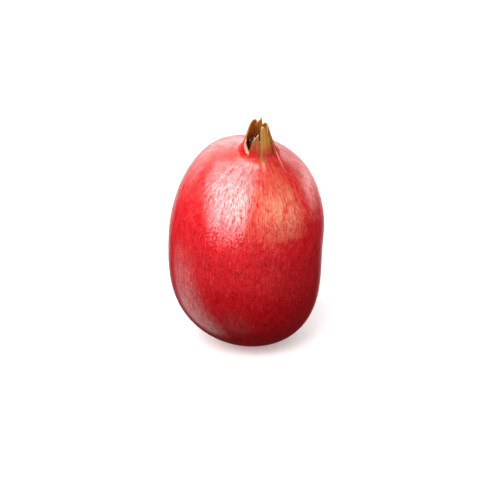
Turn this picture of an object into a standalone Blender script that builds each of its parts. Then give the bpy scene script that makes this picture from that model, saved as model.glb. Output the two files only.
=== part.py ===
"""Whole pomegranate standing upright on its base, in metres, +Z up.

Three grown pieces are modelled: the leathery rind with the lobed crown that it
ends in, the tuft of dried stamens inside the crown's cup, and the clipped woody
stub of the stalk in the dimple under the fruit.
"""

import math
import random

import bmesh
import bpy
import numpy as np
from mathutils import Vector

MM = 0.001

# Rind: half height and roundness above and below the widest ring (mm).
WIDEST_RADIUS = 45.5
UPPER_HEIGHT = 53.8
LOWER_HEIGHT = 69.0
UPPER_POWERS = (1.78, 3.0)
LOWER_POWERS = (3.4, 2.0)

# The fruit grew a little bent: how far its middle line strays over AXIS_SPAN (mm).
AXIS_SPAN = 60.0
LEAN_RIGHT = 4.4
BEND_RIGHT_UPPER = 3.8
BEND_RIGHT_LOWER = 7.5
BEND_FRONT_UPPER = 11.9
TURN_RIGHT_DEG = 14.4
TURN_FRONT_DEG = 16.2

# Soft facets and unevenness of the rind (mm).
FACET_COUNT = 6
FACET_RELIEF = 0.55
FACET_RIDGE_DEG = 266.0
UNEVEN_RELIEF = 0.30

# Flat resting ring and stalk dimple in the base (mm).
FOOT_OUTER_RADIUS = 13.0
FOOT_INNER_RADIUS = 7.0
DIMPLE_DEPTH = 3.4

# Crown: height is measured from the top of the body along the crown's own line (mm).
CROWN_LEAN_RIGHT_DEG = 3.4
CROWN_LEAN_FRONT_DEG = 14.0
CROWN_SHIFT_LEFT = 1.0
CROWN_ROOT_RADIUS = 10.2
CROWN_ROOT_SPREAD = 1.3
CROWN_SPREAD_DEG = 350.0
CROWN_TIP_RADIUS = 4.3
CROWN_FULL_HEIGHT = 24.0
CROWN_ROOT_HEIGHT = 2.0
NECK_RADIUS = 24.0
NECK_INNER_RADIUS = 15.2
NECK_INNER_SPREAD = 2.0
TIP_WALL = 1.0
ROOT_WALL = 2.0
SEAM_GROOVE = 0.5
SEAM_WIDTH_DEG = 6.0
BROKEN_LOBE_DEG = 219.0
BROKEN_LOBE_WIDTH_DEG = 22.0
BROKEN_LOBE_BEND = 0.13
CUP_RADIUS = 7.1
CUP_FLOOR_HEIGHT = -1.7
CUP_FLOOR_RADIUS = 6.7

# Lobes of the crown, anticlockwise from the right-hand side (+X), looking down.
# Each has its start and tip angles, the heights of both, and for its rising and its
# falling edge a share gained at once at the valley and the fullness of the rest.
LOBES = (
    (-33.0, 32.0, 6.5, 18.3, 0.3, 1.6, 0.0, 1.5),
    (54.0, 63.0, 12.0, 20.7, 0.0, 1.2, 0.0, 1.2),
    (110.0, 132.0, 9.0, 20.4, 0.9, 3.0, 0.0, 3.4),
    (204.0, 208.0, 9.4, 9.6, 0.0, 1.0, 0.0, 0.6),
    (238.0, 267.0, 2.9, 16.1, 0.6, 1.0, 0.0, 1.1),
    (284.0, 287.5, 7.2, 19.6, 0.0, 1.6, 0.0, 4.5),
)
COLUMNS_PER_LOBE = (20, 10, 18, 9, 12, 11)

# Rows of points between the two poles of the rind's skin.
BODY_ROWS = 25
NECK_ROWS = 5
WALL_ROWS = 6

# Dried stamens (mm).
PIECE_GAP = 0.3
STAMEN_COUNT = 30
STAMEN_SEED = 11
STAMEN_RADIUS = 0.34
ANTHER_RADIUS = 0.62
STAMEN_PAD_RADIUS = 5.6
STAMEN_PAD_THICKNESS = 0.9
STYLE_RADIUS = 0.55

# Clipped stalk stub (mm).
STUB_RADIUS = 2.9
STUB_RECESS = 0.5


def clear_scene():
    """Empty the file of the objects that it opened with."""
    for obj in list(bpy.data.objects):
        bpy.data.objects.remove(obj, do_unlink=True)


def make_material(name, colour, roughness, metallic=0.0):
    """Principled material of one plain colour."""
    material = bpy.data.materials.new(name)
    material.use_nodes = True
    shader = material.node_tree.nodes["Principled BSDF"]
    shader.inputs["Base Color"].default_value = (*colour, 1.0)
    shader.inputs["Roughness"].default_value = roughness
    shader.inputs["Metallic"].default_value = metallic
    return material


def middle_line(height):
    """Middle of the rind's ring at a height above the widest ring."""
    share = height / AXIS_SPAN
    bend = BEND_RIGHT_UPPER if height > 0 else BEND_RIGHT_LOWER
    front = BEND_FRONT_UPPER * share ** 2 if height > 0 else 0.0
    return Vector((LEAN_RIGHT * share + bend * share ** 2, -front, height))


def tilted_frame(right_deg, front_deg):
    """Across, deep and up directions of a ring tipped to the right and the front."""
    right, front = math.radians(right_deg), math.radians(front_deg)
    up = Vector((math.sin(right), -math.sin(front), math.cos(right) * math.cos(front))).normalized()
    across = Vector((up.z, 0.0, -up.x)).normalized()
    return across, up.cross(across), up


def body_frame(height):
    """Frame of the rind's ring: level below the widest ring, tipping over above it."""
    share = max(height, 0.0) / AXIS_SPAN
    return tilted_frame(TURN_RIGHT_DEG * share, TURN_FRONT_DEG * share)


def body_height(radius):
    """Height above the widest ring at which the upper rind has narrowed to a radius."""
    squareness, fullness = UPPER_POWERS
    return UPPER_HEIGHT * (1 - (radius / WIDEST_RADIUS) ** fullness) ** (1 / squareness)


def body_outline():
    """(height, radius) pairs evenly spaced up the rind from its foot to the neck."""
    squareness, fullness = LOWER_POWERS
    foot = -LOWER_HEIGHT * (1 - (FOOT_OUTER_RADIUS / WIDEST_RADIUS) ** fullness) ** (1 / squareness)
    sweep = np.linspace(0.0, math.pi / 2, 400)
    low = foot * np.cos(sweep)
    low_radius = WIDEST_RADIUS * (1 - (-low / LOWER_HEIGHT) ** squareness) ** (1 / fullness)
    squareness, fullness = UPPER_POWERS
    high = body_height(NECK_RADIUS) * np.sin(sweep)
    high_radius = WIDEST_RADIUS * (1 - (high / UPPER_HEIGHT) ** squareness) ** (1 / fullness)
    height = np.concatenate((low, high[1:]))
    radius = np.concatenate((low_radius, high_radius[1:]))
    length = np.concatenate(((0.0,), np.cumsum(np.hypot(np.diff(height), np.diff(radius)))))
    stops = np.linspace(0.0, length[-1], BODY_ROWS)
    return list(zip(np.interp(stops, length, height), np.interp(stops, length, radius)))


def relief(angle, height):
    """Small rise of the rind over its plain round form, in mm."""
    span = (height + LOWER_HEIGHT) / (UPPER_HEIGHT + LOWER_HEIGHT)
    fade = math.sin(math.pi * min(max(span, 0.0), 1.0)) ** 0.6
    facet = math.cos(FACET_COUNT * (angle - math.radians(FACET_RIDGE_DEG)))
    sharp = facet + 0.25 * math.cos(2 * FACET_COUNT * (angle - math.radians(FACET_RIDGE_DEG)))
    uneven = math.sin(2 * angle + 0.05 * height) * math.sin(0.045 * height + 1.1)
    return fade * (FACET_RELIEF * sharp * span ** 1.5 + UNEVEN_RELIEF * uneven)


def column_angles():
    """Angles of the skin's columns, with one on each valley between two lobes."""
    angles = []
    for index, count in enumerate(COLUMNS_PER_LOBE):
        start = LOBES[index][0]
        end = LOBES[(index + 1) % len(LOBES)][0] + (360.0 if index == len(LOBES) - 1 else 0.0)
        angles.extend(math.radians(start + (end - start) * step / count) for step in range(count))
    return angles


def lobe_edge(share, shoulder, fullness):
    """Part of a lobe's height gained part of the way from its valley to its tip."""
    rest = 1 - share
    return shoulder * (1 - rest ** 8) + (1 - shoulder) * (1 - rest ** fullness)


def rim_height(angle):
    """Height of the crown's lobed rim at an angle."""
    first = LOBES[0][0]
    degrees = (math.degrees(angle) - first) % 360.0 + first
    index = max(place for place, lobe in enumerate(LOBES) if lobe[0] <= degrees + 1e-6)
    start, tip, low, high, rise, rise_full, fall, fall_full = LOBES[index]
    last = index == len(LOBES) - 1
    end = first + 360.0 if last else LOBES[index + 1][0]
    end_low = LOBES[0][2] if last else LOBES[index + 1][2]
    if degrees <= tip:
        share = max((degrees - start) / (tip - start), 0.0)
        return low + (high - low) * lobe_edge(share, rise, rise_full)
    return end_low + (high - end_low) * lobe_edge((end - degrees) / (end - tip), fall, fall_full)


def crown_radius(height, angle):
    """Outer radius of the crown's wall, drawn in along the seams between lobes."""
    share = (height - CROWN_ROOT_HEIGHT) / (CROWN_FULL_HEIGHT - CROWN_ROOT_HEIGHT)
    root = CROWN_ROOT_RADIUS + CROWN_ROOT_SPREAD * math.cos(angle - math.radians(CROWN_SPREAD_DEG))
    radius = CROWN_TIP_RADIUS + (root - CROWN_TIP_RADIUS) * max(1 - share, 0.0) ** 1.1
    seam = 0.0
    for lobe in LOBES:
        turn = (math.degrees(angle) - lobe[0] + 180.0) % 360.0 - 180.0
        seam += math.exp(-((turn / SEAM_WIDTH_DEG) ** 2))
    turn = (math.degrees(angle) - BROKEN_LOBE_DEG + 180.0) % 360.0 - 180.0
    bend = BROKEN_LOBE_BEND * max(height - CROWN_ROOT_HEIGHT, 0.0)
    radius += bend * math.exp(-((turn / BROKEN_LOBE_WIDTH_DEG) ** 2))
    return radius - SEAM_GROOVE * min(seam, 1.0)


def crown_wall(height):
    """Thickness of the crown's wall, thick at the root and thin at the tips."""
    share = min(max(height / CROWN_FULL_HEIGHT, 0.0), 1.0)
    return TIP_WALL + (ROOT_WALL - TIP_WALL) * (1 - share) ** 1.5


def crown_base():
    """Point on the top of the body that the crown's heights are measured from."""
    return middle_line(UPPER_HEIGHT) - Vector((CROWN_SHIFT_LEFT, 0.0, 0.0))


def crown_point(angle, radius, height):
    """Point in the crown at an angle, a radius and a height along its own line."""
    across, deep, up = tilted_frame(CROWN_LEAN_RIGHT_DEG, CROWN_LEAN_FRONT_DEG)
    return crown_base() + up * height + (across * math.cos(angle) + deep * math.sin(angle)) * radius


def body_point(angle, height, radius):
    """Point on the rind at an angle, on the ring of a height and a plain radius."""
    across, deep, _ = body_frame(height)
    return middle_line(height) + (across * math.cos(angle) + deep * math.sin(angle)) * radius


def neck_point(angle, share):
    """Point on the hollow sweep from the shoulder up into the crown's wall."""
    low_height = body_height(NECK_RADIUS)
    start = body_point(angle, low_height, NECK_RADIUS + relief(angle, low_height))
    spread = NECK_INNER_SPREAD * math.cos(angle - math.radians(CROWN_SPREAD_DEG))
    inner_radius = NECK_INNER_RADIUS + spread
    inner = body_point(angle, body_height(inner_radius), inner_radius)
    root = crown_point(angle, crown_radius(CROWN_ROOT_HEIGHT, angle), CROWN_ROOT_HEIGHT)
    below = crown_point(angle, crown_radius(0.0, angle) + 0.6, -0.1)
    rest = 1 - share
    return (start * rest ** 3 + inner * 3 * rest ** 2 * share
            + below * 3 * rest * share ** 2 + root * share ** 3)


def rind_rows():
    """Functions of the angle, one for each ring of the skin, from below to above."""
    outline = body_outline()
    foot = outline[0][0]
    rows = []
    for radius, depth in ((2.4, 1.0), (4.6, 0.97), (5.8, 0.62), (6.5, 0.22), (FOOT_INNER_RADIUS, 0.0)):
        rows.append(lambda a, r=radius, d=depth: body_point(a, foot, r) + Vector((0, 0, d * DIMPLE_DEPTH)))
    rows.append(lambda a: body_point(a, foot, FOOT_OUTER_RADIUS))
    for height, radius in outline[1:]:
        rows.append(lambda a, h=height, r=radius: body_point(a, h, r + relief(a, h)))
    for step in range(1, NECK_ROWS):
        rows.append(lambda a, s=step / NECK_ROWS: neck_point(a, s))
    for step in range(WALL_ROWS + 1):
        rows.append(lambda a, s=step / WALL_ROWS: wall_point(a, s, False))
    for step in range(WALL_ROWS, -1, -1):
        rows.append(lambda a, s=step / WALL_ROWS: wall_point(a, s, True))
    for radius, lift in ((CUP_FLOOR_RADIUS, 0.9), (0.8 * CUP_FLOOR_RADIUS, 0.2), (0.4 * CUP_FLOOR_RADIUS, 0.0)):
        rows.append(lambda a, r=radius, z=lift: crown_point(a, r, CUP_FLOOR_HEIGHT + z))
    return rows


def wall_point(angle, share, inside):
    """Point part of the way up the crown's wall, on its outer or its inner face."""
    top = rim_height(angle)
    height = CROWN_ROOT_HEIGHT + (top - CROWN_ROOT_HEIGHT) * share
    radius = crown_radius(height, angle)
    if inside:
        radius -= crown_wall(height)
        if share < 1.0:
            radius = min(radius, CUP_RADIUS)
    return crown_point(angle, radius, height)


def build_fruit(material):
    """Rind and crown as one grown solid, shaped from a sphere ring by ring."""
    rows = rind_rows()
    angles = column_angles()
    bm = bmesh.new()
    bmesh.ops.create_uvsphere(bm, u_segments=len(angles), v_segments=len(rows) + 1, radius=1.0)
    foot = body_outline()[0][0]
    for vert in bm.verts:
        ring = round((math.asin(max(-1.0, min(1.0, vert.co.z))) / math.pi + 0.5) * (len(rows) + 1))
        if ring == 0:
            place = middle_line(foot) + Vector((0, 0, DIMPLE_DEPTH))
        elif ring == len(rows) + 1:
            place = crown_point(0.0, 0.0, CUP_FLOOR_HEIGHT)
        else:
            column = round(math.atan2(vert.co.y, vert.co.x) / math.tau * len(angles)) % len(angles)
            place = rows[ring - 1](angles[column])
        vert.co = place * MM
    for face in bm.faces:
        face.smooth = True
    return object_from(bm, "fruit", material)


def object_from(bm, name, material):
    """Object that holds a finished bmesh, in the pomegranate's collection."""
    mesh = bpy.data.meshes.new(name)
    bm.to_mesh(mesh)
    bm.free()
    mesh.materials.append(material)
    obj = bpy.data.objects.new(name, mesh)
    bpy.data.collections["pomegranate"].objects.link(obj)
    return obj


def stalk_shape(root, tip, bulge, radius, head, sides=5):
    """Closed slim stalk from root to tip, bowed sideways, with a swollen head."""
    rings = 8
    bm = bmesh.new()
    bmesh.ops.create_uvsphere(bm, u_segments=sides, v_segments=rings, radius=1.0)
    line = (tip - root).normalized()
    side = line.orthogonal().normalized()
    other = line.cross(side)
    widths = (0.0, 1.0, 1.0, 1.0, 1.0, head / radius * 0.9, head / radius, head / radius * 0.6, 0.0)
    stops = (0.0, 0.03, 0.3, 0.55, 0.76, 0.85, 0.92, 0.97, 1.0)
    for vert in bm.verts:
        ring = round((math.asin(max(-1.0, min(1.0, vert.co.z))) / math.pi + 0.5) * rings)
        turn = math.atan2(vert.co.y, vert.co.x)
        middle = root.lerp(tip, stops[ring]) + bulge * math.sin(math.pi * stops[ring])
        spoke = side * math.cos(turn) + other * math.sin(turn)
        vert.co = (middle + spoke * radius * widths[ring]) * MM
    return bm


def build_stamens(material):
    """Dried stamens and style, fused to the thin dry pad that they grow from."""
    rng = random.Random(STAMEN_SEED)
    floor = CUP_FLOOR_HEIGHT + 1.0 + PIECE_GAP
    bm = bmesh.new()
    bmesh.ops.create_cone(bm, cap_ends=True, segments=24, radius1=STAMEN_PAD_RADIUS * MM,
                          radius2=0.86 * STAMEN_PAD_RADIUS * MM, depth=STAMEN_PAD_THICKNESS * MM)
    for vert in bm.verts:
        turn, reach = math.atan2(vert.co.y, vert.co.x), math.hypot(vert.co.x, vert.co.y) / MM
        lift = vert.co.z / MM + 0.5 * STAMEN_PAD_THICKNESS
        vert.co = crown_point(turn, reach, floor + lift) * MM
    tuft = object_from(bm, "stamens", material)

    sprigs = bpy.data.collections.new("stamen pieces")
    bpy.context.scene.collection.children.link(sprigs)
    golden = math.pi * (3 - math.sqrt(5))
    for index in range(STAMEN_COUNT + 1):
        reach = (STAMEN_PAD_RADIUS - 1.0) * math.sqrt((index + 0.35) / (STAMEN_COUNT + 1))
        turn = index * golden
        rise = rng.uniform(6.4, 9.4) if index else 10.4
        root = crown_point(turn, reach, floor + 0.35 * STAMEN_PAD_THICKNESS)
        tip_reach = min(max(reach + rng.uniform(-0.9, 0.7), 0.0), STAMEN_PAD_RADIUS - 1.1)
        tip = crown_point(turn + rng.uniform(-0.25, 0.25), tip_reach, floor + rise)
        bulge = Vector((rng.uniform(-0.4, 0.4), rng.uniform(-0.4, 0.4), 0.0))
        radius = STAMEN_RADIUS if index else STYLE_RADIUS
        head = ANTHER_RADIUS if index else 1.5 * STYLE_RADIUS
        mesh = bpy.data.meshes.new(f"stamen {index:02d}")
        shape = stalk_shape(root, tip, bulge, radius, head)
        shape.to_mesh(mesh)
        shape.free()
        sprigs.objects.link(bpy.data.objects.new(mesh.name, mesh))

    fuse = tuft.modifiers.new("fuse stamens", "BOOLEAN")
    fuse.operation = "UNION"
    fuse.operand_type = "COLLECTION"
    fuse.collection = sprigs
    fuse.solver = "EXACT"
    bpy.context.view_layer.objects.active = tuft
    bpy.ops.object.modifier_apply(modifier=fuse.name)
    for sprig in list(sprigs.objects):
        bpy.data.objects.remove(sprig, do_unlink=True)
    bpy.data.collections.remove(sprigs)
    return tuft


def build_stub(material):
    """Short woody stub of the stalk, cut square and sunk in the base's dimple."""
    foot = body_outline()[0][0]
    top = 0.97 * DIMPLE_DEPTH - PIECE_GAP - 0.1
    bm = bmesh.new()
    bmesh.ops.create_cone(bm, cap_ends=True, segments=20, radius1=0.9 * STUB_RADIUS * MM,
                          radius2=STUB_RADIUS * MM, depth=(top - STUB_RECESS) * MM)
    lift = middle_line(foot) + Vector((0, 0, 0.5 * (top + STUB_RECESS)))
    for vert in bm.verts:
        turn = math.atan2(vert.co.y, vert.co.x)
        swell = 1 + 0.05 * math.cos(3 * turn + 0.6)
        vert.co = Vector((vert.co.x * swell, vert.co.y * swell, vert.co.z)) + lift * MM
    return object_from(bm, "stem_stub", material)


def settle(objects):
    """Stand the pieces on Z = 0 with the middle of their outline over the origin."""
    points = [vert.co for obj in objects for vert in obj.data.vertices]
    low = Vector(min(point[axis] for point in points) for axis in range(3))
    high = Vector(max(point[axis] for point in points) for axis in range(3))
    shift = Vector((-(low.x + high.x) / 2, -(low.y + high.y) / 2, -low.z))
    for obj in objects:
        for vert in obj.data.vertices:
            vert.co += shift
        obj.data.update()


def main():
    """Build the pomegranate's three pieces."""
    clear_scene()
    bpy.context.scene.collection.children.link(bpy.data.collections.new("pomegranate"))
    rind = make_material("rind", (0.55, 0.03, 0.035), 0.32)
    dry = make_material("dry stamen", (0.45, 0.31, 0.14), 0.8)
    woody = make_material("woody stalk", (0.27, 0.17, 0.09), 0.85)
    settle([build_fruit(rind), build_stamens(dry), build_stub(woody)])


main()
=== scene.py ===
"""Whole pomegranate on a pale studio floor: rind with its crown, dried stamens and stalk stub."""

import logging
import random
from dataclasses import dataclass, field
from enum import Enum
from functools import partial, partialmethod
from math import acos, atan2, cos, exp, hypot, pi, radians, sin, sqrt, tau
from typing import Any, Callable, NamedTuple, Optional

import bpy
from bpy.types import Material, Mesh, NodeSocket, Object
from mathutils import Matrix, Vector


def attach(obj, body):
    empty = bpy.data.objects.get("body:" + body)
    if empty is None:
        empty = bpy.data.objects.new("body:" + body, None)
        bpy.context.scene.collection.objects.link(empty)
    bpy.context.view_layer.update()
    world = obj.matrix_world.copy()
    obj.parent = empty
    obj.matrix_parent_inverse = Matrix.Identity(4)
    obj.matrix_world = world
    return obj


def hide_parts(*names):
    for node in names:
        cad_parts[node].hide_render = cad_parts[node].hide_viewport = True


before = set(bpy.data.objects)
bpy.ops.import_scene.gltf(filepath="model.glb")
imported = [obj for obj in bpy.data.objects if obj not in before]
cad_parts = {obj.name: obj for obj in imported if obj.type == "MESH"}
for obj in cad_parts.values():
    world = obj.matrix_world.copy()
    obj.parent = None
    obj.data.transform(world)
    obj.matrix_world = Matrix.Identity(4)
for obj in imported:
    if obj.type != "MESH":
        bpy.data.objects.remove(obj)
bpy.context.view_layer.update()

MM = 0.001
WHITE = (1.0, 1.0, 1.0)
LOG = logging.getLogger("pomegranate")
Colour = tuple[float, float, float]
Pairs = tuple[tuple[float, float], ...]


# Small sums


def held(value: float, low: float = 0.0, high: float = 1.0) -> float:
    """Value kept between two limits."""
    return min(max(value, low), high)


def turned(degrees: float) -> float:
    """Angle brought to between -180 and 180 degrees."""
    return (degrees + 180.0) % 360.0 - 180.0


def bell(gap: float, width: float) -> float:
    """Bell curve: one where the gap is nought, fading over a width."""
    return exp(-((gap / width) ** 2))


def toward(azimuth: float, elevation: float) -> Vector:
    """Direction at an azimuth to the right of the camera's side and an elevation, in degrees."""
    turn, lift = radians(azimuth), radians(elevation)
    return Vector((sin(turn) * cos(lift), -cos(turn) * cos(lift), sin(lift)))


# Shader writing


class Value:
    """A shader socket that adds its own Math nodes when it is used in an expression."""

    def __init__(self, graph: "Graph", socket: NodeSocket) -> None:
        """Wrap a socket of a graph."""
        self.graph = graph
        self.socket = socket

    def _math(self, operation: str, *others: Any) -> "Value":
        """Math node of this value and any others."""
        return self.graph.add("ShaderNodeMath", {"operation": operation}, dict(enumerate((self, *others))))

    def _swapped(self, operation: str, other: Any) -> "Value":
        """Math node of another value and this one."""
        return self.graph.add("ShaderNodeMath", {"operation": operation}, {0: other, 1: self})

    __add__ = partialmethod(_math, "ADD")
    __radd__ = partialmethod(_swapped, "ADD")
    __sub__ = partialmethod(_math, "SUBTRACT")
    __rsub__ = partialmethod(_swapped, "SUBTRACT")
    __mul__ = partialmethod(_math, "MULTIPLY")
    __rmul__ = partialmethod(_swapped, "MULTIPLY")
    __truediv__ = partialmethod(_math, "DIVIDE")

    def cosine(self) -> "Value":
        """Cosine of an angle in radians."""
        return self._math("COSINE")

    def clamped(self) -> "Value":
        """Value held between nought and one."""
        return self.graph.add("ShaderNodeClamp", {}, {0: self})

    def step(self, low: float, high: float) -> "Value":
        """Soft step from nought at low to one at high, which may lie below low."""
        if low < high:
            settings = {"interpolation_type": "SMOOTHSTEP"}
            return self.graph.add("ShaderNodeMapRange", settings, {0: self, 1: low, 2: high})
        return 1 - self.step(high, low)


class Graph:
    """Node tree of a material or of the room's light, written from Python."""

    def __init__(self, owner: Any) -> None:
        """Clear the nodes of a material or a world."""
        owner.use_nodes = True
        self.owner = owner
        self.tree = owner.node_tree
        self.tree.nodes.clear()

    @classmethod
    def of_material(cls, name: str) -> "Graph":
        """Graph of a new material."""
        return cls(bpy.data.materials.new(name))

    def add(self, kind: str, settings: dict[str, Any], inputs: dict[Any, Any], output: Any = 0) -> Value:
        """Add any node.

        Args:
            kind: the node's type.
            settings: properties to set before the sockets are filled.
            inputs: values or links, by socket name or place.
            output: name or place of the socket that is returned.

        Returns:
            The wrapped output socket.
        """
        node = self.tree.nodes.new(kind)
        for name, setting in settings.items():
            setattr(node, name, setting)
        for place, value in inputs.items():
            target = node.inputs[place]
            if isinstance(value, Value):
                self.tree.links.new(value.socket, target)
            elif isinstance(value, tuple) and len(value) == 3 and target.type == "RGBA":
                target.default_value = (*value, 1.0)
            else:
                target.default_value = value
        return Value(self, node.outputs[output])

    def attribute(self, name: str) -> tuple[Value, Value, Value]:
        """Three channels of one of the piece's own attributes."""
        return self.split(self.add("ShaderNodeAttribute", {"attribute_name": name}, {}, "Vector"))

    def coordinates(self, kind: str) -> Value:
        """Texture coordinates of a kind."""
        return self.add("ShaderNodeTexCoord", {}, {}, kind)

    def split(self, vector: Value) -> tuple[Value, Value, Value]:
        """Three channels of a vector."""
        first = self.add("ShaderNodeSeparateXYZ", {}, {0: vector})
        outputs = first.socket.node.outputs
        return first, Value(self, outputs[1]), Value(self, outputs[2])

    def vector(self, x: Any, y: Any, z: Any) -> Value:
        """Vector of three channels."""
        return self.add("ShaderNodeCombineXYZ", {}, {0: x, 1: y, 2: z})

    def noise(self, vector: Value, scale: float, detail: float = 2.0, rough: float = 0.5,
              twist: float = 0.0) -> Value:
        """Noise between nought and one over a vector, distorted by a twist."""
        links = {"Vector": vector, "Scale": scale, "Detail": detail, "Roughness": rough, "Distortion": twist}
        return self.add("ShaderNodeTexNoise", {"noise_dimensions": "3D"}, links, "Fac")

    def cells(self, vector: Value, scale: float) -> Value:
        """Distance to the nearest point of a scattered set."""
        links = {"Vector": vector, "Scale": scale}
        return self.add("ShaderNodeTexVoronoi", {"feature": "F1"}, links, "Distance")

    def blend(self, factor: Any, first: Any, second: Any) -> Value:
        """Mix a first colour with a second one by a factor."""
        settings = {"data_type": "RGBA", "blend_type": "MIX", "clamp_factor": True}
        return self.add("ShaderNodeMix", settings, {0: factor, 6: first, 7: second}, 2)

    def coats(self, below: Any, *layers: tuple[Any, Value, float]) -> Value:
        """Lay colours over one another.

        Args:
            below: colour that is covered.
            layers: each colour, where it lies from nought to one, and its strength there.

        Returns:
            The coated colour.
        """
        for colour, cover, strength in layers:
            below = self.blend((cover * strength).clamped(), below, colour)
        return below

    def bump(self, height: Value, depth: float, below: Optional[Value] = None) -> Value:
        """Normal bent by a height, whose one is a depth in metres, over the normal below."""
        links = {"Strength": 1.0, "Distance": depth, "Height": height}
        if below is not None:
            links["Normal"] = below
        return self.add("ShaderNodeBump", {}, links)

    def skin(self, fixed: dict[str, Any], linked: dict[str, Value]) -> Value:
        """Principled shader of constants and of sockets that vary over the surface."""
        return self.add("ShaderNodeBsdfPrincipled", {}, {**fixed, **linked})

    def finish(self, shader: Value, kind: str = "ShaderNodeOutputMaterial") -> Any:
        """Join a shader to the tree's output and return the owner."""
        output = self.tree.nodes.new(kind)
        self.tree.links.new(shader.socket, output.inputs["Surface"])
        return self.owner


# Finishes


class RindGrain:
    """What the rind's colours and gloss share: its attributes, noises and brushed streaks.

    Across and deep are the cosine and sine of the angle round the fruit. Along is the
    distance from the crown's root over the widest radius, and climb is the height up
    the crown in cm.
    """

    def __init__(self, graph: Graph) -> None:
        """Add the shared nodes to the rind's graph."""
        self.graph = graph
        self.across, self.deep, self.along = graph.attribute("grain")
        self.climb, self.inside, self.rim = graph.attribute("zone")
        # the third mark is the painted reflection line down the crown's right flank, negative on its dry band
        self.seam, self.pale, self.glint_and_dry_band = graph.attribute("mark")
        self.husk = graph.add("ShaderNodeAttribute", {"attribute_name": "husk"}, {}, "Color")
        self.place = graph.coordinates("Object")

        self.threads = self.drawn(0.13, scale=62.0, detail=4.0, rough=0.65, twist=0.25)
        self.flecks = self.drawn(0.40, scale=52.0, detail=3.0, rough=0.60, twist=0.4)
        self.drift = self.drawn(0.45, scale=8.0, detail=3.0, rough=0.60, twist=0.5)
        self.fibres = self.drawn(0.05, scale=34.0, detail=3.0, rough=0.6)
        self.ribs = self.drawn(0.02, scale=70.0, detail=2.0, rough=0.5)
        self.stipple = graph.noise(self.place, 1150.0, 2.0, 0.7)
        self.clouds = graph.noise(self.place, 34.0, 3.0, 0.55)
        self.mottle = graph.noise(self.place, 230.0, 4.0, 0.65)

        self.strokes = self.drawn(0.10, scale=42.0, detail=3.0, rough=0.6, twist=0.6).step(0.57, 0.66)
        self.shoulder = (self.across * 0.98 + self.deep * 0.05).step(0.40, 0.85) * self.along.step(1.05, 0.45)
        self.brushed = self.strokes * self.along.step(1.35, 0.60) * (1 - self.shoulder)

    def drawn(self, squeeze: float, **settings: float) -> Value:
        """Noise drawn out from the crown to the foot, where it keeps a share of its fineness."""
        return self.graph.noise(self.graph.vector(self.across, self.deep, self.along * squeeze), **settings)


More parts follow.
